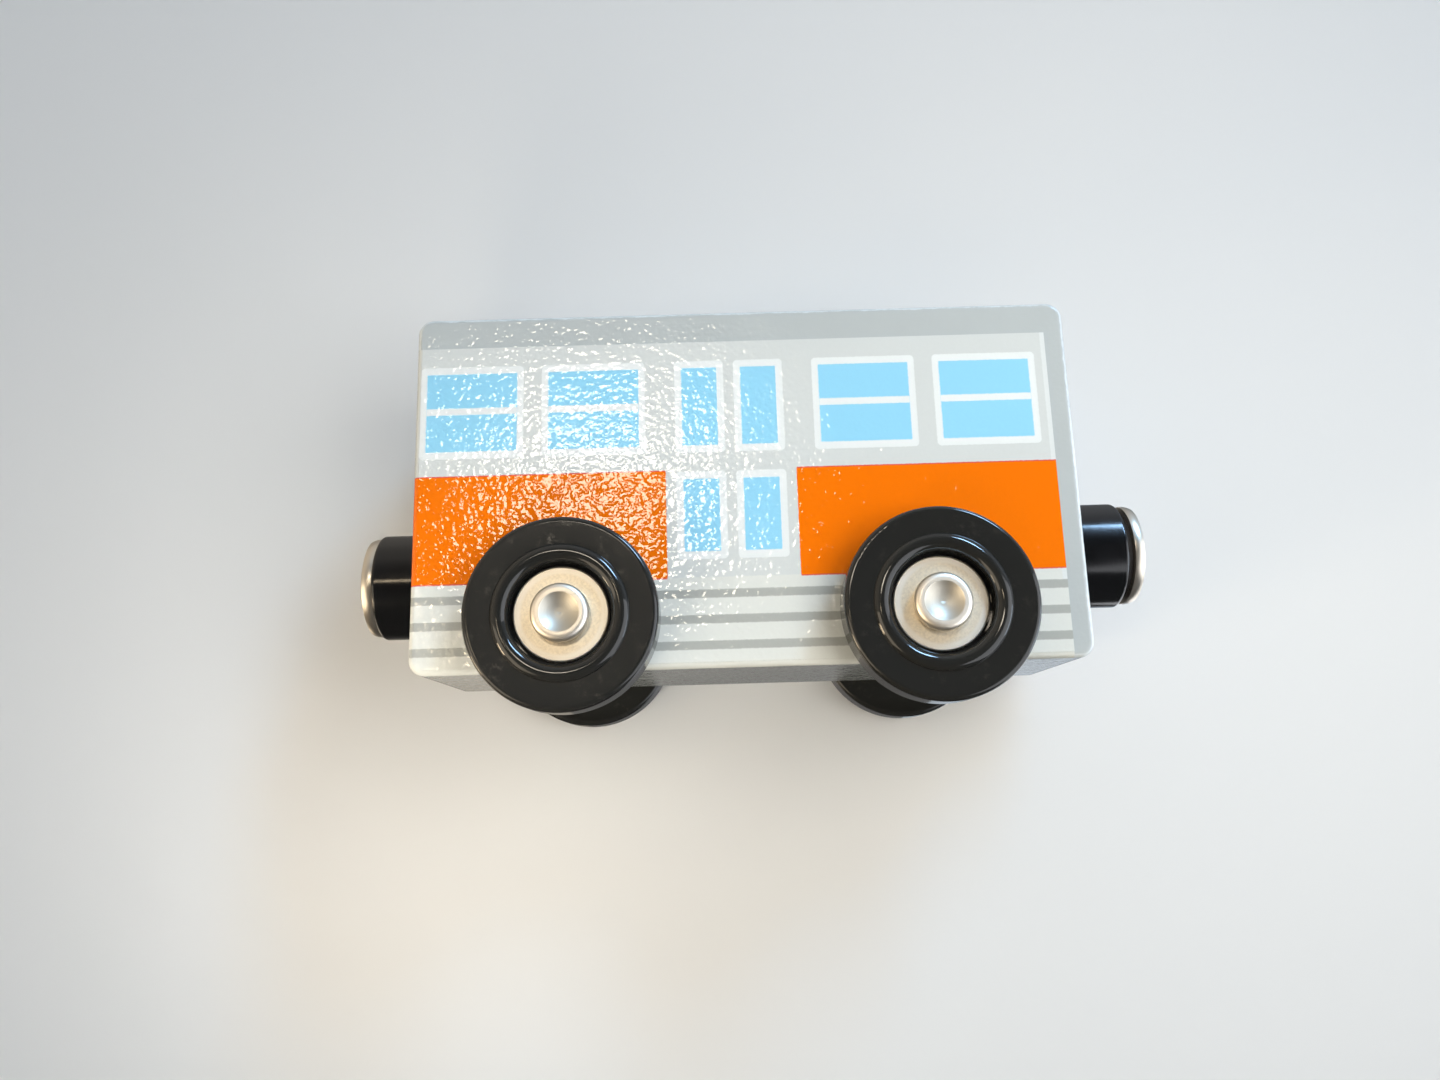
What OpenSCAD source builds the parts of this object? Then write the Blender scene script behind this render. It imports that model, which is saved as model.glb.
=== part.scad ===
// Wooden toy train car: a painted block on four free wheels, with a magnet coupler at each end.
// The car stands on its wheels. X runs along the car, Y across it and Z up. The origin lies on
// the track, midway between the axles. The left end is -X and the near side is -Y.

/* [Block] */
// Length of the wooden block
body_l = 72; // [66:0.5:90]
// Thickness of the block across the car
body_w = 21; // [18:0.5:24]
// Height of the block
body_h = 39.8; // [34:0.2:50]
// Height of the underside above the track
ground_gap = 4.5; // [3:0.1:6]
// Radius of the corners in side view
corner_r = 1.7; // [1.4:0.1:4]
// Radius of the sanded edges round each side
edge_r = 0.6; // [0.4:0.1:1.2]

/* [Side prints] */
// Thickness of the printed film
film_t = 0.08; // [0.06:0.01:0.2]
// Plain paint left beside the film at one end
print_margin = 2.3; // [2:0.05:5]
// Plain paint left above the film as a roof band
roof_band = 3.6; // [2:0.1:6]

/* [Wheels] */
// Distance between the two axles
wheel_base = 38.7; // [30:0.1:42]
// Tread diameter
wheel_d = 20; // [18.5:0.5:24]
// Width of the tread
wheel_w = 4.6; // [3.8:0.1:5.5]
// Radius of the tread's two edges
tread_edge_r = 0.6; // [0.2:0.1:1]
// Middle diameter of the raised ring on the outer face
ring_d = 12.4; // [12:0.1:13]
// Width of the raised ring
ring_w = 1.7; // [0.8:0.1:1.8]
// Height of the raised ring above the outer face
ring_h = 0.5; // [0.2:0.1:0.9]
// Diameter of the recess inside the ring
recess_d = 10.5; // [10.2:0.1:10.8]
// Depth of the recess below the outer face
recess_depth = 2; // [1.6:0.1:2.6]
// Diameter of the hub on the inner face
hub_d = 9; // [7:0.5:12]
// Height of the hub above the inner face
hub_h = 0.4; // [0.2:0.1:1]

/* [Axles] */
// Diameter of the axle rod
axle_d = 4.8; // [4:0.1:5.2]
// Diameter of the rolled head on each end of the axle
axle_head_d = 6; // [5.8:0.1:7]
// Height of the rolled head above its washer
axle_head_h = 1.7; // [1.3:0.1:2.4]
// Radius of the rolled head's lip
axle_lip_r = 0.65; // [0.3:0.05:0.8]
// Diameter of the round dimple in the head
dimple_d = 4.1; // [3:0.1:4.4]
// Depth of the dimple in the head
dimple_depth = 0.7; // [0.4:0.1:1.2]
// Diameter of the washer that holds the wheel on
washer_d = 9.85; // [9:0.05:10]
// Thickness of the washer
washer_t = 0.8; // [0.5:0.1:1.1]
// Radius of the washer's outer edge
washer_edge_r = 0.2; // [0.1:0.05:0.25]

/* [Couplers] */
// Height of the left coupler's axis above the track
left_coupler_z = 15.8; // [14:0.1:20]
// Height of the right coupler's axis above the track
right_coupler_z = 17.2; // [14:0.1:20]
// Depth of the counterbore that the left housing seats in
left_seat = 1; // [0.1:0.05:1.5]
// Depth of the counterbore that the right housing seats in
right_seat = 0.25; // [0.1:0.05:1.5]
// Outside diameter of the coupler housing
housing_d = 12; // [11:0.1:14]
// Length of the housing in front of its seat
housing_l = 6.7; // [6:0.1:9]
// How far the housing's root is set in all round, inside its seat
root_step = 0.4; // [0.2:0.1:0.6]
// Gap between the housing's shoulder and the block
shoulder_gap = 0.3; // [0.1:0.05:0.5]
// Wall of the housing's cup
housing_wall = 1; // [0.7:0.1:1.4]
// Thickness of the floor of the housing's cup
housing_floor = 1.3; // [0.9:0.1:1.6]
// Radius of the housing's outer rim
housing_rim_r = 0.4; // [0.1:0.1:0.5]
// Diameter of the spigot that plugs into the block
spigot_d = 8; // [7:0.1:9]
// Length of the spigot
spigot_l = 5; // [4:0.5:7]
// Wall of the spigot
spigot_wall = 1.2; // [0.8:0.1:1.3]
// Diameter of the coupler pin
pin_d = 3; // [2.4:0.1:3.2]
// Diameter of the pin's head, inside the magnet
pin_head_d = 5; // [4.6:0.1:6]
// Thickness of the pin's head
pin_head_t = 0.8; // [0.5:0.1:1.2]
// Diameter of the pin's tail, inside the spigot
pin_tail_d = 4.6; // [4.2:0.1:4.8]
// Thickness of the pin's tail
pin_tail_t = 1; // [0.6:0.1:1.4]
// Length of the ring magnet
magnet_l = 3.6; // [3:0.1:3.8]
// Diameter of the domed steel cap
cap_d = 11.3; // [10.5:0.1:12]
// Height of the cap from its flat back to the top of its dome
cap_h = 2.2; // [1.8:0.1:2.5]
// Radius of the cap's dome
cap_dome_r = 14; // [12:0.1:20]
// Radius of the bulge round the cap's rim
cap_rim_r = 1.6; // [1.3:0.1:1.8]
// Height of the rim's widest place above the cap's back
cap_rim_z = 0.4; // [0.2:0.05:0.6]
// How far the pin, magnet and cap float along the housing
coupler_float = 0.7; // [0.4:0.1:1.2]

/* [Clearances] */
// Radial clearance of a shaft in its hole
running_gap = 0.08; // [0.04:0.01:0.1]
// Gap between a wheel's hub and the printed film
wheel_gap = 0.2; // [0.1:0.05:0.4]
// Gap between a washer and the floor of its recess
washer_gap = 0.1; // [0.05:0.05:0.3]
// Radial clearance of a loose piece in its pocket
pocket_gap = 0.15; // [0.1:0.05:0.3]
// Gap left at the end of a sliding piece's travel
stop_gap = 0.05; // [0.05:0.05:0.15]
// Radial glue gap round the spigot and the housing's root
glue_gap = 0.04; // [0.02:0.01:0.1]
// Space left behind the spigot in its socket
socket_relief = 1; // [0.5:0.1:2]

/* [Hidden] */
$fn = 96;

// How far a cutting shape runs past the face it cuts
cut = 1;

LEFT = -1;
RIGHT = 1;
NEAR = 0;
FAR = 180;

body_mid_z = ground_gap + body_h / 2;
axle_z = wheel_d / 2;
axle_x = wheel_base / 2;
bore_r = axle_d / 2 + running_gap;

// Distances from the car's middle plane, going outwards along an axle
film_y = body_w / 2 + film_t;
wheel_in_y = film_y + wheel_gap + hub_h;
wheel_out_y = wheel_in_y + wheel_w;
washer_in_y = wheel_out_y - recess_depth + washer_gap;
washer_out_y = washer_in_y + washer_t;
axle_end_y = washer_out_y + axle_head_h;

// Places along a coupler, measured outwards from the housing's seat, with the cap pushed in
cap_back_x = housing_l + stop_gap;
magnet_back_x = cap_back_x - magnet_l;
pin_head_x = cap_back_x - stop_gap - pin_head_t;
pin_tail_x = -stop_gap - coupler_float;
cup_r = housing_d / 2 - housing_wall;
root_r = housing_d / 2 - root_step;

function seat_depth(end) = end == LEFT ? left_seat : right_seat;

// A rectangle with round corners, centred
module rounded_rect(w, h, r) {
    square([w - 2 * r, h], center = true);
    square([w, h - 2 * r], center = true);
    for (x = [-1, 1], y = [-1, 1])
        translate([x * (w / 2 - r), y * (h / 2 - r)])
            circle(r);
}

// The half of a turned disc's section that lies right of its axis, from height 0 to h
module disc_section(r, h, edge) {
    intersection() {
        translate([0, h / 2])
            rounded_rect(2 * r, h, edge);
        square([r, h]);
    }
}

// The half section of a bead of width w that stands h above a face, as one arc
module bead_section(w, h) {
    r = (w * w / 4 + h * h) / (2 * h);
    intersection() {
        translate([0, h - r])
            circle(r);
        translate([-w / 2, -cut])
            square([w, h + cut]);
    }
}

// Stands a side view, drawn in X and Z, at distance y with thickness t
module side_plate(y, t) {
    translate([0, y, 0])
        rotate([90, 0, 0])
            linear_extrude(t, center = true)
                children();
}

// Turns a section about the Y axis, with its height running outwards on the near side
module turn_across() {
    rotate([90, 0, 0])
        rotate_extrude()
            children();
}

// Turns a section about the X axis, with its height running outwards at the right end
module turn_along() {
    rotate([0, 90, 0])
        rotate_extrude()
            children();
}

module at_axle(end) {
    translate([end * axle_x, 0, axle_z])
        children();
}

// Places a wheel piece, drawn for the near side, on either side of the car
module at_wheel(end, side) {
    at_axle(end)
        rotate(side)
            children();
}

// Places a coupler piece, drawn for the right end, on its seat at either end of the car
module at_coupler(end) {
    z = end == LEFT ? left_coupler_z : right_coupler_z;
    translate([end * (body_l / 2 - seat_depth(end)), 0, z])
        rotate(end == LEFT ? 180 : 0)
            children();
}

// The right coupler stands pulled out and the left one pushed in
module at_float(end) {
    at_coupler(end)
        translate([end == RIGHT ? coupler_float : 0, 0, 0])
            children();
}

module block_solid() {
    translate([0, 0, body_mid_z]) {
        rotate([90, 0, 90])
            linear_extrude(body_l - 2 * corner_r, center = true)
                rounded_rect(body_w, body_h, edge_r);
        linear_extrude(body_h - 2 * corner_r, center = true)
            rounded_rect(body_l, body_w, edge_r);
        for (turn = [0, 180], flip = [0, 1])
            rotate([0, 0, turn])
                mirror([0, 0, flip])
                    translate([body_l / 2 - corner_r, body_w / 2, body_h / 2 - corner_r])
                        rotate([90, 0, 0])
                            rotate_extrude(angle = 90)
                                disc_section(corner_r, body_w, edge_r);
    }
}

// The stepped hole that a coupler's housing and spigot are glued into
module coupler_socket_section() {
    square([root_r + glue_gap, housing_l]);
    translate([0, -spigot_l - socket_relief])
        square([spigot_d / 2 + glue_gap, spigot_l + socket_relief]);
}

module body_block() {
    color("lightgray")
        difference() {
            block_solid();
            for (end = [LEFT, RIGHT]) {
                at_axle(end)
                    rotate([90, 0, 0])
                        cylinder(h = body_w + 2 * cut, r = bore_r, center = true);
                at_coupler(end)
                    turn_along()
                        coupler_socket_section();
            }
        }
}

// The printed film covers the flat of the side, apart from its margin and the roof band
module print_outline() {
    flat_l = body_l - 2 * edge_r;
    flat_h = body_h - 2 * edge_r;
    difference() {
        intersection() {
            translate([0, body_mid_z])
                rounded_rect(flat_l, flat_h, corner_r - edge_r);
            translate([-body_l / 2, ground_gap])
                square([body_l - print_margin, body_h - roof_band]);
        }
        for (end = [LEFT, RIGHT])
            translate([end * axle_x, axle_z])
                circle(bore_r);
    }
}

module side_print(side) {
    color("whitesmoke")
        rotate(side)
            side_plate(-body_w / 2 - film_t / 2, film_t)
                print_outline();
}

module axle_head_section() {
    dimple_r = (dimple_d * dimple_d / 4 + dimple_depth * dimple_depth) / (2 * dimple_depth);
    difference() {
        disc_section(axle_head_d / 2, axle_head_h, axle_lip_r);
        translate([0, axle_head_h - dimple_depth + dimple_r])
            circle(dimple_r);
    }
}

module axle(end) {
    color("silver")
        at_axle(end) {
            rotate([90, 0, 0])
                cylinder(h = 2 * washer_out_y, d = axle_d, center = true);
            for (side = [NEAR, FAR])
                rotate(side)
                    translate([0, -washer_out_y, 0])
                        turn_across()
                            axle_head_section();
        }
}

module wheel_section() {
    difference() {
        union() {
            disc_section(wheel_d / 2, wheel_w, tread_edge_r);
            translate([ring_d / 2, wheel_w])
                bead_section(ring_w, ring_h);
            translate([0, -hub_h])
                square([hub_d / 2, hub_h]);
        }
        translate([0, wheel_w - recess_depth])
            square([recess_d / 2, recess_depth + ring_h + cut]);
        translate([0, -hub_h - cut])
            square([bore_r, wheel_w + 2 * cut]);
    }
}

module wheel(end, side) {
    color("dimgray")
        at_wheel(end, side)
            translate([0, -wheel_in_y, 0])
                turn_across()
                    wheel_section();
}

module washer(end, side) {
    color("gainsboro")
        at_wheel(end, side)
            translate([0, -washer_in_y, 0])
                turn_across()
                    difference() {
                        disc_section(washer_d / 2, washer_t, washer_edge_r);
                        square([bore_r, washer_t]);
                    }
}

module coupler_housing(end) {
    shoulder_x = seat_depth(end) + shoulder_gap;
    color("black")
        at_coupler(end)
            turn_along()
                difference() {
                    union() {
                        square([root_r, housing_l / 2]);
                        translate([0, shoulder_x]) {
                            square([housing_d / 2, housing_l / 2 - shoulder_x]);
                            disc_section(housing_d / 2, housing_l - shoulder_x, housing_rim_r);
                        }
                        translate([0, -spigot_l])
                            square([spigot_d / 2, spigot_l]);
                    }
                    translate([0, housing_floor])
                        square([cup_r, housing_l]);
                    translate([0, -spigot_l - cut])
                        square([pin_d / 2 + running_gap, spigot_l + housing_l]);
                    translate([0, -spigot_l - cut])
                        square([spigot_d / 2 - spigot_wall, spigot_l + cut]);
                }
}

module coupler_pin(end) {
    color("darkgray")
        at_float(end)
            turn_along() {
                translate([0, pin_tail_x - pin_tail_t])
                    square([pin_tail_d / 2, pin_tail_t]);
                translate([0, pin_tail_x - pin_tail_t])
                    square([pin_d / 2, pin_head_x + pin_head_t - pin_tail_x + pin_tail_t]);
                translate([0, pin_head_x])
                    square([pin_head_d / 2, pin_head_t]);
            }
}

module coupler_magnet(end) {
    color("slategray")
        at_float(end)
            turn_along()
                difference() {
                    translate([0, magnet_back_x])
                        square([cup_r - pocket_gap, magnet_l]);
                    translate([0, magnet_back_x - cut])
                        square([pin_d / 2 + running_gap, magnet_l + 2 * cut]);
                    translate([0, pin_head_x - stop_gap])
                        square([pin_head_d / 2 + pocket_gap, magnet_l]);
                }
}

// The cap's half section: a bulging rim on a flat back, cut across by a shallow dome
module cap_section() {
    bulge_x = cap_d / 2 - cap_rim_r;
    intersection() {
        union() {
            square([bulge_x, cap_h + cut]);
            translate([bulge_x, cap_rim_z])
                circle(cap_rim_r);
        }
        translate([0, cap_h - cap_dome_r])
            circle(cap_dome_r);
        square([cap_d, cap_h + cut]);
    }
}

module coupler_cap(end) {
    color("silver")
        at_float(end)
            turn_along()
                translate([0, cap_back_x])
                    cap_section();
}

body_block();
side_print(NEAR);  // side_print_near
side_print(FAR);  // side_print_far
axle(LEFT);  // axle_left
axle(RIGHT);  // axle_right
wheel(LEFT, NEAR);  // wheel_left_near
wheel(LEFT, FAR);  // wheel_left_far
wheel(RIGHT, NEAR);  // wheel_right_near
wheel(RIGHT, FAR);  // wheel_right_far
washer(LEFT, NEAR);  // washer_left_near
washer(LEFT, FAR);  // washer_left_far
washer(RIGHT, NEAR);  // washer_right_near
washer(RIGHT, FAR);  // washer_right_far
coupler_housing(LEFT);  // coupler_housing_left
coupler_housing(RIGHT);  // coupler_housing_right
coupler_pin(LEFT);  // coupler_pin_left
coupler_pin(RIGHT);  // coupler_pin_right
coupler_magnet(LEFT);  // coupler_magnet_left
coupler_magnet(RIGHT);  // coupler_magnet_right
coupler_cap(LEFT);  // coupler_cap_left
coupler_cap(RIGHT);  // coupler_cap_right
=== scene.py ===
"""Looks of a wooden toy train car: painted block, printed sides, plastic wheels and magnet couplers.

X runs along the car, Y across it and Z up, with the origin on the track midway between the axles.
Patterns are drawn in millimetres, and meshes are in metres.
"""

import math

import bpy
from mathutils import Matrix, Vector


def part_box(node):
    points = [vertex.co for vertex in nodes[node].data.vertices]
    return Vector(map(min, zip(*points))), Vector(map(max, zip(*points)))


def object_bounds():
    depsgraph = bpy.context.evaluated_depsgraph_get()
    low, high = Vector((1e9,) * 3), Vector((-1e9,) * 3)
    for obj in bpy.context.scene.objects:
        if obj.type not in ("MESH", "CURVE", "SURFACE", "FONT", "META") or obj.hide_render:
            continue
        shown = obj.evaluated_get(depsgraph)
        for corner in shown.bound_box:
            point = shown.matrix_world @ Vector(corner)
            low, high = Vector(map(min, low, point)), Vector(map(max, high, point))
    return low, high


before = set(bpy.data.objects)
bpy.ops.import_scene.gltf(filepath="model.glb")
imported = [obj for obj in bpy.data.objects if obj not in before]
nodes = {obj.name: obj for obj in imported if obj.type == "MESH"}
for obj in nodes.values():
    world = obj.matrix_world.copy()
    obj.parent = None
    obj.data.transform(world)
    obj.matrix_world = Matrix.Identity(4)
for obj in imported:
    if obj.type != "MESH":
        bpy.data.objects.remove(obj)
cad_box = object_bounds()

MM = 0.001
ENDS = ("left", "right")
SIDES = ("near", "far")

# Sizes taken from the frame
block_low, block_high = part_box("body_block")
film_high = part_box("side_print_near")[1]
wheel_mid = sum(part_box("wheel_right_near"), Vector()) / 2
cap_mid = {end: sum(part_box(f"coupler_cap_{end}"), Vector()) / 2 for end in ENDS}


def linear(hex_colour):
    """Turns an sRGB hex colour into linear light."""
    shares = [int(hex_colour[i : i + 2], 16) / 255 for i in (1, 3, 5)]
    light = [s / 12.92 if s <= 0.04045 else ((s + 0.055) / 1.055) ** 2.4 for s in shares]
    return (*light, 1.0)


def add(tree, kind, inputs=None, **settings):
    """Adds a node with its settings, fills its inputs with values or links, and returns its first output."""
    made = tree.nodes.new("ShaderNode" + kind)
    for name, value in settings.items():
        setattr(made, name, value)
    for name, value in (inputs or {}).items():
        socket = made.inputs[name]
        if isinstance(name, str):
            socket = next(s for s in made.inputs if s.enabled and s.name == name)
        if isinstance(value, bpy.types.NodeSocket):
            tree.links.new(value, socket)
        else:
            socket.default_value = value
    return next((s for s in made.outputs if s.enabled), None)


def new_material(name):
    """An empty material and its node tree."""
    material = bpy.data.materials.new(name)
    material.use_nodes = True
    material.node_tree.nodes.clear()
    return material, material.node_tree


def in_millimetres(tree):
    """The object's own coordinates, in millimetres."""
    own = add(tree, "TexCoord").node.outputs["Object"]
    return add(tree, "Mapping", {"Vector": own, "Scale": (1 / MM,) * 3})


def give(material, *names):
    """Puts one material on CAD nodes."""
    for name in names:
        mesh = nodes[name].data
        mesh.materials.clear()
        mesh.materials.append(material)


def mottled(tree, place, colour, grain, depth):
    """A colour whose strength varies softly by a share, in patches of the given size in millimetres."""
    cloud = add(tree, "TexNoise", {"Vector": place, "Scale": 1 / grain, "Detail": 3.0})
    shade = add(tree, "MapRange", {"Value": cloud, "To Min": 1 - depth, "To Max": 1 + depth})
    layers = {"Factor": 1.0, "A": colour, "B": shade}
    return add(tree, "Mix", layers, data_type="RGBA", blend_type="MULTIPLY")


# The printed side. Places across are measured from the middle of the print, and heights from the track.
PRINT_MID = -1.55
INK_EDGE = 0.05
INK_WANDER = 0.05
INK_WANDER_SIZE = 1 / 3
WINDOW_MIDDLES = (14.9, 28.25)
WINDOW_FRAME = (11.35, 10.54)
WINDOW_GLASS = (9.93, 8.93)
WINDOW_Z = 33.19
BAR_Z = 33.32
BAR_H = 0.77
DOOR_MIDDLE = 3.26
DOOR_FRAME_W = 5.42
DOOR_GLASS_W = 3.9
LOWER_DOOR_Z = 20.93
LOWER_FRAME_H = 9.69
LOWER_GLASS_H = 8.0
FRAME_CORNER = 0.45
INK_CORNER = 0.12
PANEL_INNER = 7.1
PANEL_OUTER = 40.0
PANEL_TOP = 25.85
PANEL_BOTTOM = 14.12
FRINGE_H = 0.13
STRIPES_Z = (12.34, 9.62, 6.88)
STRIPE_H = 0.91
EDGE_LINE = (34.75, 35.6)
EDGE_LINE_H = 42.16

WALL = "#D9DDDA"
SKIRT = "#E3E5DE"
FRAME = "#EFF3F1"
PANE = "#9ADBF7"
ORANGE = "#FF7A00"
FRINGE = "#E65A4B"
STRIPE = "#B3B5AF"
TRIM = "#E4E8E6"


def past_core(tree, place, middle, size, corner):
    """How far a place lies past a rectangle's core, which ends a corner's radius inside its edges."""
    half = [s / 2 - corner for s in size]
    offset = add(tree, "VectorMath", {0: place, 1: (middle[0], 0, middle[1])}, operation="SUBTRACT")
    folded = add(tree, "VectorMath", {0: offset}, operation="ABSOLUTE")
    past = add(tree, "VectorMath", {0: folded, 1: (half[0], 0, half[1])}, operation="SUBTRACT")
    outside = add(tree, "VectorMath", {0: past, 1: (0, 0, 0)}, operation="MAXIMUM")
    flat = add(tree, "VectorMath", {0: outside, 1: (1, 0, 1)}, operation="MULTIPLY")
    return add(tree, "VectorMath", {0: flat}, operation="LENGTH").node.outputs["Value"]


def patch(tree, place, middle, size, corner):
    """A mask of one printed rectangle with round corners, from its middle and size across and up."""
    gap = past_core(tree, place, middle, size, corner)
    edge = {"Value": gap, "From Min": corner + INK_EDGE, "From Max": corner - INK_EDGE}
    return add(tree, "MapRange", edge)


def own_side(tree, place):
    """Places as seen facing the nearer side of the car, so that both sides read from their own left."""
    parts = add(tree, "SeparateXYZ", {"Vector": place}).node.outputs
    facing = add(tree, "Math", {0: parts["Y"], 1: -1.0}, operation="MULTIPLY")
    facing = add(tree, "Math", {0: facing}, operation="SIGN")
    x = add(tree, "Math", {0: parts["X"], 1: facing}, operation="MULTIPLY")
    return add(tree, "CombineXYZ", {"X": x, "Y": parts["Y"], "Z": parts["Z"]})


def livery(tree, place):
    """The printed livery as a colour: windows, double doors, panels and stripes, alike left and right."""
    ragged = {"Vector": place, "Scale": 1 / INK_WANDER_SIZE, "Detail": 2.0}
    wander = {"Value": add(tree, "TexNoise", ragged), "To Min": -INK_WANDER, "To Max": INK_WANDER}
    wander = add(tree, "MapRange", wander)
    across = add(tree, "SeparateXYZ", {"Vector": own_side(tree, place)}).node.outputs
    x = add(tree, "Math", {0: across["X"], 1: PRINT_MID}, operation="SUBTRACT")
    x = add(tree, "Math", {0: x}, operation="ABSOLUTE")
    x = add(tree, "Math", {0: x, 1: wander}, operation="ADD")
    z = add(tree, "Math", {0: across["Z"], 1: wander}, operation="ADD")
    spot = add(tree, "CombineXYZ", {"X": x, "Y": 0.0, "Z": z})

    panel_w = PANEL_OUTER - PANEL_INNER
    panel_mid = (PANEL_OUTER + PANEL_INNER) / 2
    panel_h = PANEL_TOP - PANEL_BOTTOM
    panel_z = (PANEL_TOP + PANEL_BOTTOM) / 2
    line_mid = sum(EDGE_LINE) / 2
    line_w = EDGE_LINE[1] - EDGE_LINE[0]
    layers = [
        (SKIRT, (0, 0), (2 * PANEL_OUTER, 2 * PANEL_BOTTOM), INK_CORNER),
        (TRIM, (line_mid, WINDOW_Z), (line_w, EDGE_LINE_H), INK_CORNER),
        (FRINGE, (panel_mid, panel_z), (panel_w, panel_h + 2 * FRINGE_H), INK_CORNER),
        (ORANGE, (panel_mid, panel_z), (panel_w, panel_h), INK_CORNER),
        (FRAME, (DOOR_MIDDLE, WINDOW_Z), (DOOR_FRAME_W, WINDOW_FRAME[1]), FRAME_CORNER),
        (FRAME, (DOOR_MIDDLE, LOWER_DOOR_Z), (DOOR_FRAME_W, LOWER_FRAME_H), FRAME_CORNER),
        (PANE, (DOOR_MIDDLE, WINDOW_Z), (DOOR_GLASS_W, WINDOW_GLASS[1]), INK_CORNER),
        (PANE, (DOOR_MIDDLE, LOWER_DOOR_Z), (DOOR_GLASS_W, LOWER_GLASS_H), INK_CORNER),
    ]
    for middle in WINDOW_MIDDLES:
        layers.append((FRAME, (middle, WINDOW_Z), WINDOW_FRAME, FRAME_CORNER))
        layers.append((PANE, (middle, WINDOW_Z), WINDOW_GLASS, INK_CORNER))
        layers.append((FRAME, (middle, BAR_Z), (WINDOW_GLASS[0], BAR_H), INK_CORNER))
    for height in STRIPES_Z:
        layers.append((STRIPE, (0, height), (2 * PANEL_OUTER, STRIPE_H), INK_CORNER))

    colour = linear(WALL)
    for ink, middle, size, corner in layers:
        mask = patch(tree, spot, middle, size, corner)
        ink_over = {"Factor": mask, "A": colour, "B": linear(ink)}
        colour = add(tree, "Mix", ink_over, data_type="RGBA")
    return colour


# The lacquer over print and paint. The nibs' radius is a share of their spacing.
SWELL_SIZE = 1.8
SWELL_H = 0.058
PEEL_SIZE = 0.52
PEEL_H = 0.056
NIB_SPACING = 1.5
NIB_SHARE = 0.12
NIB_H = 0.014
SHOW_THROUGH = 0.25
MATT = 0.5
LACQUER_ROUGH = 0.02
LACQUER_IOR = 1.5


def wet_lacquer(tree, place):
    """The height of thick brushed lacquer, in millimetres: slow swells, an orange peel and dust nibs."""
    swell = add(tree, "TexNoise", {"Vector": place, "Scale": 1 / SWELL_SIZE, "Detail": 1.0})
    swell = add(tree, "Math", {0: swell, 1: SWELL_H}, operation="MULTIPLY")
    peel = {"Vector": place, "Scale": 1 / PEEL_SIZE, "Detail": 0.5, "Distortion": 0.2}
    height = {0: add(tree, "TexNoise", peel), 1: PEEL_H, 2: swell}
    height = add(tree, "Math", height, operation="MULTIPLY_ADD")
    nib = add(tree, "TexVoronoi", {"Vector": place, "Scale": 1 / NIB_SPACING, "Randomness": 1.0})
    nib = {"Value": nib, "From Min": NIB_SHARE, "From Max": 0.0}
    nib = add(tree, "MapRange", nib, interpolation_type="SMOOTHSTEP")
    return add(tree, "Math", {0: nib, 1: NIB_H, 2: height}, operation="MULTIPLY_ADD")


def lacquer_over(tree, place, colour, relief=None):
    """Finishes a material as matt colour under wet lacquer, whose ripples show faintly in the colour too.
    A relief below the lacquer is given as a normal."""
    ripple = {"Height": wet_lacquer(tree, place), "Strength": 1.0, "Distance": MM}
    faint = {**ripple, "Strength": SHOW_THROUGH}
    if relief is not None:
        faint["Normal"] = relief
    shader = add(tree, "BsdfPrincipled", {
        "Base Color": colour,
        "Roughness": MATT,
        "Specular IOR Level": 0.0,
        "Normal": add(tree, "Bump", faint),
        "Coat Weight": 1.0,
        "Coat Roughness": LACQUER_ROUGH,
        "Coat IOR": LACQUER_IOR,
        "Coat Normal": add(tree, "Bump", ripple),
    })
    add(tree, "OutputMaterial", {"Surface": shader})


INK_GRAIN = 0.3
INK_DEPTH = 0.02


def lacquered_print():
    """Screen-printed film under a thick brushed lacquer: flat inks, and a wet gloss that ripples like
    orange peel, so that a lamp's reflection breaks into flecks."""
    material, tree = new_material("lacquered_print")
    place = in_millimetres(tree)
    inks = mottled(tree, place, livery(tree, place), INK_GRAIN, INK_DEPTH)
    lacquer_over(tree, place, inks)
    return material


PAINT = "#BEC4C3"
PAINT_CLOUD = 6.0
PAINT_DEPTH = 0.05
# The pale bead colour is a painted highlight on the edge rounding, where the gathered lacquer catches the
# light
BEAD_HIGHLIGHT = "#DFE6E7"
BEAD_HIGHLIGHT_W = 0.34
BEAD_HIGHLIGHT_WANDER = 0.45
BEAD_HIGHLIGHT_WAVE = 1.1
BEAD_HIGHLIGHT_EDGE = 0.08
CORNER_ROUND = 1.7
EDGE_ROUND = 0.6
GRAIN_SIZE = 0.7
GRAIN_STRETCH = 20
GRAIN_H = 0.012
film_right = film_high.x / MM
film_top = film_high.z / MM
side_edge = -block_low.y / MM - EDGE_ROUND


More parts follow.
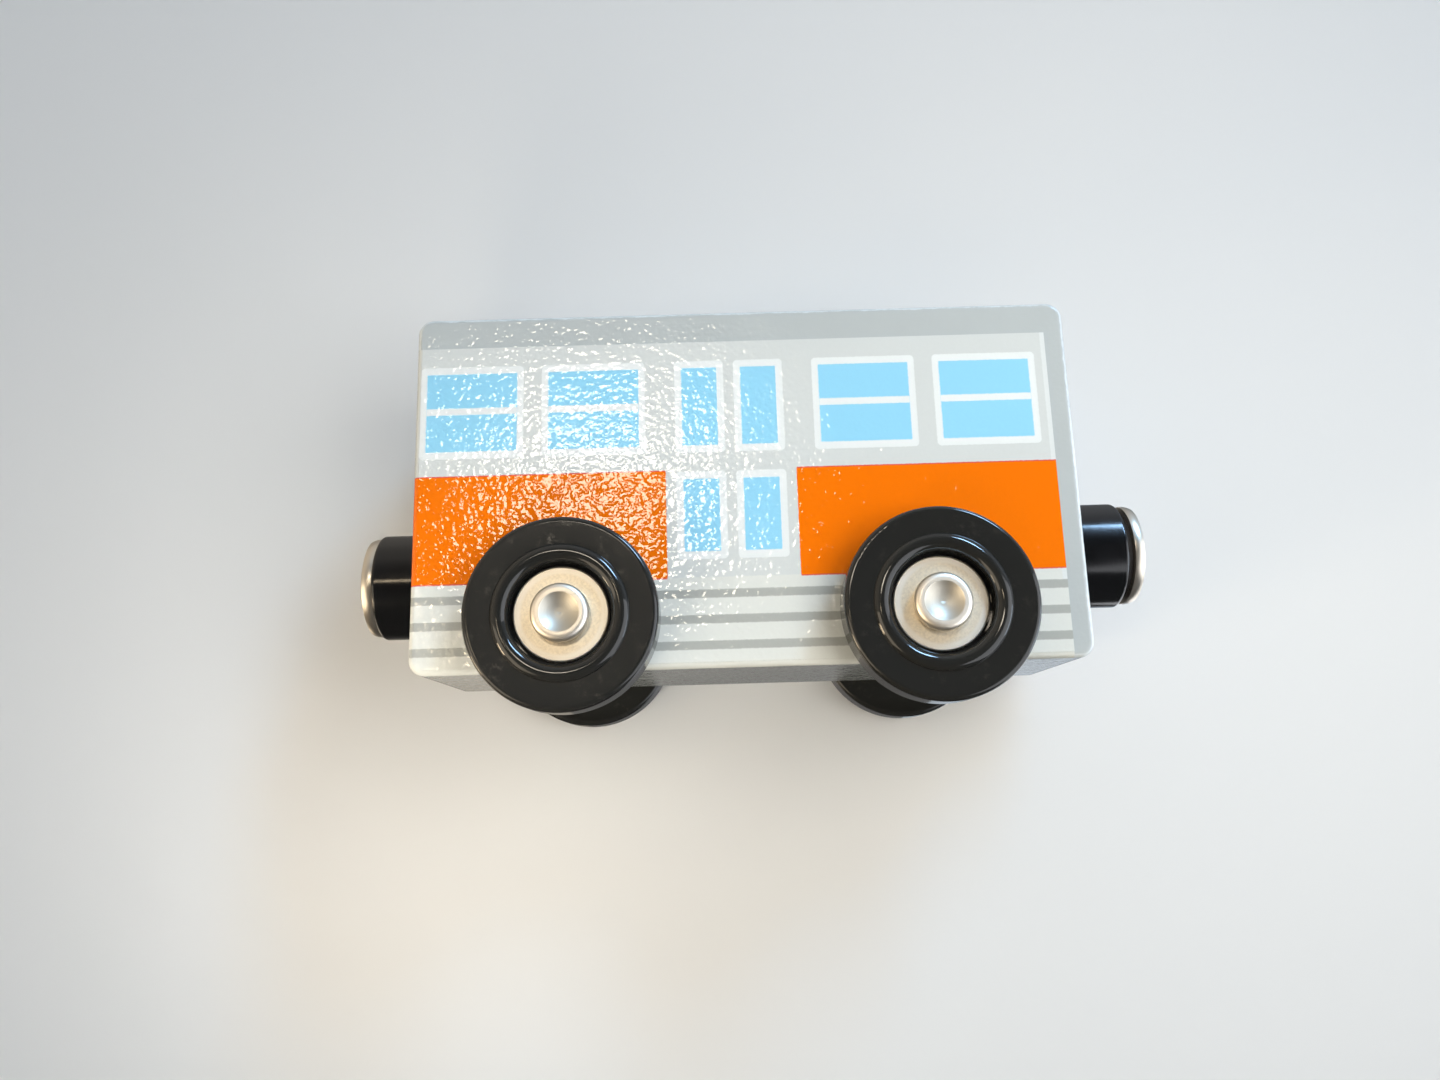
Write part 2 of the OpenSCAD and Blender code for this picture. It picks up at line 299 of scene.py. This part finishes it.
def painted_beech():
    """Beech block sprayed pale grey and lacquered: soft grain under a wet gloss, and a wavy pale band painted
    along the edges as a painted highlight where the gathered lacquer catches the light. The printed inks run
    over the edges beside and below them."""
    material, tree = new_material("painted_beech")
    place = in_millimetres(tree)
    paint = mottled(tree, place, linear(PAINT), PAINT_CLOUD, PAINT_DEPTH)
    parts = add(tree, "SeparateXYZ", {"Vector": own_side(tree, place)}).node.outputs
    depth = add(tree, "Math", {0: parts["Y"]}, operation="ABSOLUTE")
    on_side = add(tree, "Math", {0: depth, 1: side_edge}, operation="GREATER_THAN")
    middle, size = (block_low + block_high) / 2 / MM, (block_high - block_low) / MM
    past = past_core(tree, place, (middle.x, middle.z), (size.x, size.z), CORNER_ROUND)
    # A wavy pale band on the edge rounding: a painted highlight, not a paint colour
    waves = add(tree, "TexNoise", {"Vector": place, "Scale": 1 / BEAD_HIGHLIGHT_WAVE, "Detail": 2.0})
    past = add(tree, "Math", {0: waves, 1: BEAD_HIGHLIGHT_WANDER, 2: past}, operation="MULTIPLY_ADD")
    highlight_from = CORNER_ROUND - BEAD_HIGHLIGHT_W + BEAD_HIGHLIGHT_WANDER / 2
    bead_highlight = {"Value": past, "From Min": highlight_from - BEAD_HIGHLIGHT_EDGE, "From Max": highlight_from + BEAD_HIGHLIGHT_EDGE}
    bead_highlight = add(tree, "Math", {0: add(tree, "MapRange", bead_highlight), 1: on_side}, operation="MULTIPLY")
    bead_lit = add(tree, "Mix", {"Factor": bead_highlight, "A": paint, "B": linear(BEAD_HIGHLIGHT)}, data_type="RGBA")
    printed = on_side
    for part, limit in (("X", film_right), ("Z", film_top)):
        inside = add(tree, "Math", {0: parts[part], 1: limit}, operation="LESS_THAN")
        printed = add(tree, "Math", {0: printed, 1: inside}, operation="MULTIPLY")
    inked = {"Factor": printed, "A": bead_lit, "B": livery(tree, place)}
    colour = add(tree, "Mix", inked, data_type="RGBA")

    along = add(tree, "Mapping", {"Vector": place, "Scale": (1 / GRAIN_STRETCH, 1.0, 1.0)})
    grain = {"Vector": along, "Scale": 1 / GRAIN_SIZE, "Detail": 4.0, "Roughness": 0.6}
    grain = add(tree, "Math", {0: add(tree, "TexNoise", grain), 1: GRAIN_H}, operation="MULTIPLY")
    wood = add(tree, "Bump", {"Height": grain, "Strength": 1.0, "Distance": MM})
    lacquer_over(tree, place, colour, wood)
    return material


# The wheels. The mould's grain is really finer, and is drawn coarse enough to show.
PLASTIC_IOR = 1.49
WHEEL_BLACK = "#232321"
RING_R = 7.1
RING_POLISH = 0.06
MOULD_GRAIN = 0.16
MOULD_GRAIN_H = 0.003
MOULD_SATIN = (0.08, 0.13)
SINK_SLOPE = 0.035
SCUFF = "#3D3A35"
SCUFF_SIZE = 0.7
SCUFF_LEVELS = (0.5, 0.8)
SCUFF_DULLS = 0.3
WORN_SIZE = 3.0
WORN_LEVELS = (0.48, 0.7)
axle_x = wheel_mid.x / MM
axle_z = wheel_mid.z / MM


def from_axle(tree, place):
    """The distance from the nearer axle's line."""
    folded = add(tree, "VectorMath", {0: place}, operation="ABSOLUTE")
    spot = add(tree, "VectorMath", {0: folded, 1: (axle_x, 0, axle_z)}, operation="SUBTRACT")
    flat = add(tree, "VectorMath", {0: spot, 1: (1, 0, 1)}, operation="MULTIPLY")
    return add(tree, "VectorMath", {0: flat}, operation="LENGTH").node.outputs["Value"]


def moulded_wheel():
    """Injection-moulded black plastic: satin flats that sank a little as they cooled, a polished ring and
    recess, and pale scuffs from play."""
    material, tree = new_material("moulded_wheel_plastic")
    place = in_millimetres(tree)
    radius = from_axle(tree, place)
    polished = add(tree, "Math", {0: radius, 1: RING_R}, operation="LESS_THAN")
    fine = add(tree, "TexNoise", {"Vector": place, "Scale": 1 / MOULD_GRAIN, "Detail": 4.0})
    patchy = add(tree, "TexNoise", {"Vector": place, "Scale": 1 / WORN_SIZE, "Detail": 2.0})
    worn = {"Value": patchy, "From Min": WORN_LEVELS[0], "From Max": WORN_LEVELS[1]}
    smudge = {"Vector": place, "Scale": 1 / SCUFF_SIZE, "Detail": 6.0, "Roughness": 0.7}
    smudge = add(tree, "TexNoise", smudge)
    marks = {"Value": smudge, "From Min": SCUFF_LEVELS[0], "From Max": SCUFF_LEVELS[1]}
    scuffs = {0: add(tree, "MapRange", worn), 1: add(tree, "MapRange", marks)}
    scuffs = add(tree, "Math", scuffs, operation="MULTIPLY")
    flat = add(tree, "Math", {0: 1.0, 1: polished}, operation="SUBTRACT")
    scuffs = add(tree, "Math", {0: scuffs, 1: flat}, operation="MULTIPLY")
    shades = {"Factor": scuffs, "A": linear(WHEEL_BLACK), "B": linear(SCUFF)}
    satin = add(tree, "MapRange", {"Value": fine, "To Min": MOULD_SATIN[0], "To Max": MOULD_SATIN[1]})
    rough = add(tree, "Mix", {"Factor": polished, "A": satin, "B": RING_POLISH}, data_type="FLOAT")
    sink = add(tree, "Math", {0: radius, 1: SINK_SLOPE}, operation="MULTIPLY")
    height = add(tree, "Math", {0: fine, 1: MOULD_GRAIN_H, 2: sink}, operation="MULTIPLY_ADD")
    shader = add(tree, "BsdfPrincipled", {
        "Base Color": add(tree, "Mix", shades, data_type="RGBA"),
        "Roughness": add(tree, "Math", {0: scuffs, 1: SCUFF_DULLS, 2: rough}, operation="MULTIPLY_ADD"),
        "IOR": PLASTIC_IOR,
        "Normal": add(tree, "Bump", {"Height": height, "Strength": 1.0, "Distance": MM}),
    })
    add(tree, "OutputMaterial", {"Surface": shader})
    return material


# The washers. Their grain is really finer, and is drawn coarse enough to show.
WASHER = "#F4E8D0"
WASHER_PATCH = 0.25
WASHER_DEPTH = 0.22
# The paler rim colour is a painted highlight on the washer's rounded edge
WASHER_RIM_HIGHLIGHT = "#FBF3E3"
WASHER_RIM_HIGHLIGHT_R = (3.95, 4.35)
WASHER_GRAIN = 0.12
WASHER_GRAIN_H = 0.01
WASHER_SATIN = (0.4, 0.5)


def tumbled_washer():
    """Pressed steel washer, tumbled and nickel plated: warm satin with a fine grain, and a paler rim
    that is a painted highlight where the rounded edge catches the light."""
    material, tree = new_material("tumbled_nickel_plate")
    place = in_millimetres(tree)
    radius = from_axle(tree, place)
    # The rim is painted paler as a highlight
    rim = {"Value": radius, "From Min": WASHER_RIM_HIGHLIGHT_R[0], "From Max": WASHER_RIM_HIGHLIGHT_R[1]}
    rim = add(tree, "MapRange", rim, interpolation_type="SMOOTHSTEP")
    flat = mottled(tree, place, linear(WASHER), WASHER_PATCH, WASHER_DEPTH)
    colour = {"Factor": rim, "A": flat, "B": linear(WASHER_RIM_HIGHLIGHT)}
    grain = add(tree, "TexNoise", {"Vector": place, "Scale": 1 / WASHER_GRAIN, "Detail": 3.0})
    satin = {"Value": grain, "To Min": WASHER_SATIN[0], "To Max": WASHER_SATIN[1]}
    height = add(tree, "Math", {0: grain, 1: WASHER_GRAIN_H}, operation="MULTIPLY")
    shader = add(tree, "BsdfPrincipled", {
        "Base Color": add(tree, "Mix", colour, data_type="RGBA"),
        "Metallic": 1.0,
        "Roughness": add(tree, "MapRange", satin),
        "Normal": add(tree, "Bump", {"Height": height, "Strength": 1.0, "Distance": MM}),
    })
    add(tree, "OutputMaterial", {"Surface": shader})
    return material


# Axle heads and caps, each with a colour and a roughness. The axle head's dish has a darker colour as painted
# shade, and its lip a paler one as a painted highlight. The tool's rings are drawn coarse enough to show.
DISH_SHADED = ("#CBC5B7", 0.44)
LIP_LIT = ("#F6EDDD", 0.38)
CAP = ("#D6CEC0", 0.26)
DISH_R = 2.05
DISH_EDGE = 0.1
HEAD_RING_H = 0.012
CAP_RING_H = 0.006
RING_SPACING = 0.2
TARNISH_SIZE = 0.25
TARNISH_DULLS = 0.1


def bright_nickel(name, radius_of, dish, rim, ring_h):
    """Bright nickel on turned steel: a warm, slightly dulled mirror with fine, uneven rings left by the tool.
    The dish and the rim each have a colour and a roughness; where they differ, the darker dish colour is
    painted shade and the paler rim colour a painted highlight."""
    material, tree = new_material(name)
    place = in_millimetres(tree)
    radius = radius_of(tree, place)
    rings = add(tree, "CombineXYZ", {"X": radius, "Y": 0.0, "Z": 0.0})
    rings = add(tree, "TexNoise", {"Vector": rings, "Scale": 1 / RING_SPACING, "Detail": 2.0})
    tarnish = add(tree, "TexNoise", {"Vector": place, "Scale": 1 / TARNISH_SIZE, "Detail": 3.0})
    past = {"Value": radius, "From Min": DISH_R - DISH_EDGE, "From Max": DISH_R + DISH_EDGE}
    past = add(tree, "MapRange", past)
    # A darker dish colour paints shade and a paler rim colour paints a highlight
    colour = {"Factor": past, "A": linear(dish[0]), "B": linear(rim[0])}
    dull = add(tree, "Mix", {"Factor": past, "A": dish[1], "B": rim[1]}, data_type="FLOAT")
    height = add(tree, "Math", {0: rings, 1: ring_h}, operation="MULTIPLY")
    shader = add(tree, "BsdfPrincipled", {
        "Base Color": add(tree, "Mix", colour, data_type="RGBA"),
        "Metallic": 1.0,
        "Roughness": add(tree, "Math", {0: tarnish, 1: TARNISH_DULLS, 2: dull}, operation="MULTIPLY_ADD"),
        "Normal": add(tree, "Bump", {"Height": height, "Strength": 1.0, "Distance": MM}),
    })
    add(tree, "OutputMaterial", {"Surface": shader})
    return material


def from_coupler(end):
    """Gives a function for the distance from one coupler's axis."""
    middle = cap_mid[end] / MM

    def radius_of(tree, place):
        spot = add(tree, "VectorMath", {0: place, 1: tuple(middle)}, operation="SUBTRACT")
        flat = add(tree, "VectorMath", {0: spot, 1: (0, 1, 1)}, operation="MULTIPLY")
        return add(tree, "VectorMath", {0: flat}, operation="LENGTH").node.outputs["Value"]

    return radius_of


HOUSING_BLACK = "#08090B"
HOUSING_GLOSS = (0.12, 0.2)
FLOW_SIZE = 1.5
DUST_SIZE = 0.3
DUST_H = 0.003


def gloss_housing():
    """Polished black plastic: deep gloss with faint moulding flow and a little dust in the finish."""
    material, tree = new_material("polished_black_plastic")
    place = in_millimetres(tree)
    flow = add(tree, "TexNoise", {"Vector": place, "Scale": 1 / FLOW_SIZE, "Detail": 2.0})
    gloss = {"Value": flow, "To Min": HOUSING_GLOSS[0], "To Max": HOUSING_GLOSS[1]}
    dust = add(tree, "TexNoise", {"Vector": place, "Scale": 1 / DUST_SIZE, "Detail": 4.0})
    height = add(tree, "Math", {0: dust, 1: DUST_H}, operation="MULTIPLY")
    shader = add(tree, "BsdfPrincipled", {
        "Base Color": linear(HOUSING_BLACK),
        "Roughness": add(tree, "MapRange", gloss),
        "IOR": PLASTIC_IOR,
        "Normal": add(tree, "Bump", {"Height": height, "Strength": 1.0, "Distance": MM}),
    })
    add(tree, "OutputMaterial", {"Surface": shader})
    return material


# The magnets. Sintered grit is really finer, and is drawn coarse enough to show.
FERRITE = "#39393C"
FERRITE_PATCH = 0.4
FERRITE_DEPTH = 0.12
FERRITE_DULL = (0.5, 0.75)
GRIT_SIZE = 0.15
GRIT_H = 0.01


def ferrite():
    """Sintered ferrite magnet: dull dark grey with a fine grain."""
    material, tree = new_material("sintered_ferrite")
    place = in_millimetres(tree)
    grit = add(tree, "TexNoise", {"Vector": place, "Scale": 1 / GRIT_SIZE, "Detail": 3.0})
    dull = {"Value": grit, "To Min": FERRITE_DULL[0], "To Max": FERRITE_DULL[1]}
    height = add(tree, "Math", {0: grit, 1: GRIT_H}, operation="MULTIPLY")
    shader = add(tree, "BsdfPrincipled", {
        "Base Color": mottled(tree, place, linear(FERRITE), FERRITE_PATCH, FERRITE_DEPTH),
        "Roughness": add(tree, "MapRange", dull),
        "Normal": add(tree, "Bump", {"Height": height, "Strength": 1.0, "Distance": MM}),
    })
    add(tree, "OutputMaterial", {"Surface": shader})
    return material


give(painted_beech(), "body_block")
give(lacquered_print(), *[f"side_print_{side}" for side in SIDES])
give(moulded_wheel(), *[f"wheel_{end}_{side}" for end in ENDS for side in SIDES])
give(tumbled_washer(), *[f"washer_{end}_{side}" for end in ENDS for side in SIDES])
# The axle head's darker dish is painted shade and its paler lip a painted highlight
axle_nickel = bright_nickel("rolled_axle_nickel", from_axle, DISH_SHADED, LIP_LIT, HEAD_RING_H)
give(axle_nickel, *[f"axle_{end}" for end in ENDS])
for end in ENDS:
    cap_nickel = bright_nickel(f"{end}_cap_nickel", from_coupler(end), CAP, CAP, CAP_RING_H)
    give(cap_nickel, f"coupler_cap_{end}", f"coupler_pin_{end}")
give(gloss_housing(), *[f"coupler_housing_{end}" for end in ENDS])
give(ferrite(), *[f"coupler_magnet_{end}" for end in ENDS])

# Stage: a floor under the wheels and a backdrop behind the far wheels. Each shows from its front only.
STAGE = "#E9E9E7"
STAGE_SIZE = 6.0


def stage_paper():
    """Plain pale paper that can be seen from its front only."""
    material, tree = new_material("pale_paper")
    sheet = add(tree, "BsdfDiffuse", {"Color": linear(STAGE)})
    clear = add(tree, "BsdfTransparent")
    behind = add(tree, "NewGeometry").node.outputs["Backfacing"]
    shader = add(tree, "MixShader", {0: behind, 1: sheet, 2: clear})
    add(tree, "OutputMaterial", {"Surface": shader})
    return material


def stage_sheet(name, place, turn, paper):
    """A large flat sheet that takes shadows, casts none and stays out of reflections."""
    bpy.ops.mesh.primitive_plane_add(size=STAGE_SIZE, location=place, rotation=(turn, 0, 0))
    sheet = bpy.context.object
    sheet.name = name
    sheet.data.materials.append(paper)
    sheet.visible_shadow = False
    sheet.visible_diffuse = False
    sheet.visible_glossy = False


bpy.ops.object.select_all(action="DESELECT")
paper = stage_paper()
far_face = cad_box[1][1]
stage_sheet("floor", (0, 0, 0), 0, paper)
stage_sheet("backdrop", (0, far_face, 0), math.pi / 2, paper)


# Lamps stand round the car. An azimuth of 0 is the photographed side, and a positive one goes round to the
# right. Distances and lamp sizes are in metres. A radiance of 1 is the brightness of white paper in plain
# light.
def softbox(name, azimuth, elevation, distance, size, colour, radiance, aim):
    """A rectangular lamp that points at a place on the car, in millimetres."""
    around, up = math.radians(azimuth), math.radians(elevation)
    away = Vector((math.sin(around) * math.cos(up), -math.cos(around) * math.cos(up), math.sin(up)))
    lamp = bpy.data.lights.new(name, "AREA")
    lamp.shape = "RECTANGLE"
    lamp.size, lamp.size_y = size
    lamp.color = linear(colour)[:3]
    lamp.energy = radiance * math.pi * size[0] * size[1]
    holder = bpy.data.objects.new(name, lamp)
    holder.location = Vector(aim) * MM + away * distance
    holder.rotation_euler = away.to_track_quat("Z", "Y").to_euler()
    bpy.context.scene.collection.objects.link(holder)
    return holder


CAR_MID = (0, 0, 22)
GLARE_AT = (-16.2, -10.6, 23.6)
LOW_LEFT = (-30, -10, 6)
softbox("shelf_lamp", -18.5, 5, 1.2, (0.05, 0.07), "#FFE8C4", 30.0, CAR_MID)
softbox("window", 42, 44, 1.2, (0.2, 0.44), "#A8D4FF", 22.0, CAR_MID)
softbox("doorway", -82, -20, 1.2, (0.24, 0.24), "#FFE4BC", 20.0, CAR_MID)
softbox("side_window", 91, -8, 1.2, (0.4, 0.5), "#D8EBFF", 4.2, CAR_MID)
# These show in the gloss only, so that the wheels cast no shadow of them on the side
gleams = [
    softbox("ceiling_lamp", -6.2, 15.2, 1.0, (0.175, 0.115), "#FFF1DC", 18.0, GLARE_AT),
    softbox("left_front", -54, -22, 0.4, (0.24, 0.3), "#FFEDD2", 2.4, CAR_MID),
    softbox("right_front", 57, -14, 0.35, (0.34, 0.4), "#F8FAFF", 2.2, CAR_MID),
    softbox("window_panes", 42, 44, 1.19, (0.16, 0.42), "#A8D4FF", 30.0, CAR_MID),
    softbox("left_rear", -126, -14, 0.4, (0.24, 0.3), "#FFEDD2", 1.6, CAR_MID),
    softbox("right_rear", 123, -12, 0.35, (0.34, 0.4), "#F8FAFF", 1.6, CAR_MID),
    softbox("left_floor_glow", -164, -9, 1.2, (0.34, 0.34), "#FFEFD4", 0.24, CAR_MID),
    softbox("right_floor_glow", 162, -9, 1.2, (0.34, 0.34), "#E0F0FF", 0.55, CAR_MID),
]
for gleam in gleams:
    gleam.visible_diffuse = False
# The fills light the sides and the underside. They stay out of the gloss, where they would edge the wheels
# and couplers in white
fills = [
    softbox("right_fill", 31, -1, 0.17, (0.1, 0.12), "#FFFDF8", 4.6, CAR_MID),
    softbox("left_fill", -25, -45, 0.05, (0.025, 0.025), "#FFF6E8", 9.5, LOW_LEFT),
    softbox("low_fill", 12, -52, 1.2, (0.8, 0.6), "#FFF9EC", 1.0, CAR_MID),
    softbox("left_back", -140, 30, 1.2, (0.7, 0.7), "#FFFFFF", 4.4, CAR_MID),
    softbox("right_back", 140, 30, 1.2, (0.7, 0.7), "#FFFFFF", 4.4, CAR_MID),
]
for fill in fills:
    fill.visible_glossy = False
    fill.visible_camera = False

# The room is lighter at eye level and overhead than below, warm on the left and cool on the right. It is dim
# round the camera and behind the car. Where a shade starts and ends is given as a part of a unit direction.
ROOM_LOW = 0.14
ROOM_HIGH = 0.68
ROOM_RISE = (-0.7, 0.15)
CAMERA_WAY = (0.14, -0.985, 0.1)
FRONT_SHADE = 0.15
FRONT_SPAN = (0.92, 0.55)
BACK_SHADE = 0.4
BACK_SPAN = (0.7, 0.2)
WARM_SIDE = "#FFEFD8"
COOL_SIDE = "#E6F1FF"
TINT_SPAN = (-0.7, 0.7)

world = bpy.data.worlds.new("pale_room")
bpy.context.scene.world = world
world.use_nodes = True
room = world.node_tree
room.nodes.clear()
outward = add(room, "TexCoord")
ways = add(room, "SeparateXYZ", {"Vector": outward}).node.outputs
towards = add(room, "VectorMath", {0: outward, 1: CAMERA_WAY}, operation="DOT_PRODUCT")
towards = towards.node.outputs["Value"]
glow = 1.0
for way, span, low, high in (
    (ways["Z"], ROOM_RISE, ROOM_LOW, ROOM_HIGH),
    (towards, FRONT_SPAN, FRONT_SHADE, 1.0),
    (ways["Y"], BACK_SPAN, BACK_SHADE, 1.0),
):
    shade = {"Value": way, "From Min": span[0], "From Max": span[1], "To Min": low, "To Max": high}
    glow = add(room, "Math", {0: glow, 1: add(room, "MapRange", shade)}, operation="MULTIPLY")
side = add(room, "MapRange", {"Value": ways["X"], "From Min": TINT_SPAN[0], "From Max": TINT_SPAN[1]})
tint = {"Factor": side, "A": linear(WARM_SIDE), "B": linear(COOL_SIDE)}
sky = add(room, "Background", {"Color": add(room, "Mix", tint, data_type="RGBA"), "Strength": glow})
add(room, "OutputWorld", {"Surface": sky})

# Camera, as the photograph was taken: close, from a little below the wheels, slightly rolled
PHOTO_W = 1440
FOCAL_PX = 1090
CAMERA_AT = (-3.25, -124.34, -6.81)
CAMERA_AIM = (-2.97, -10.5, 18.11)
CAMERA_ROLL = math.radians(-1.67)
CLIP_START = 0.005

camera = bpy.data.cameras.new("photo_camera")
camera.sensor_fit = "HORIZONTAL"
camera.lens = camera.sensor_width * FOCAL_PX / PHOTO_W
camera.clip_start = CLIP_START
viewer = bpy.data.objects.new("photo_camera", camera)
sight = (Vector(CAMERA_AIM) - Vector(CAMERA_AT)).to_track_quat("-Z", "Y").to_matrix()
rolled = sight @ Matrix.Rotation(CAMERA_ROLL, 3, "Z")
viewer.matrix_world = Matrix.Translation(Vector(CAMERA_AT) * MM) @ rolled.to_4x4()
bpy.context.scene.collection.objects.link(viewer)
bpy.context.scene.camera = viewer

bpy.context.scene.view_settings.view_transform = "Standard"
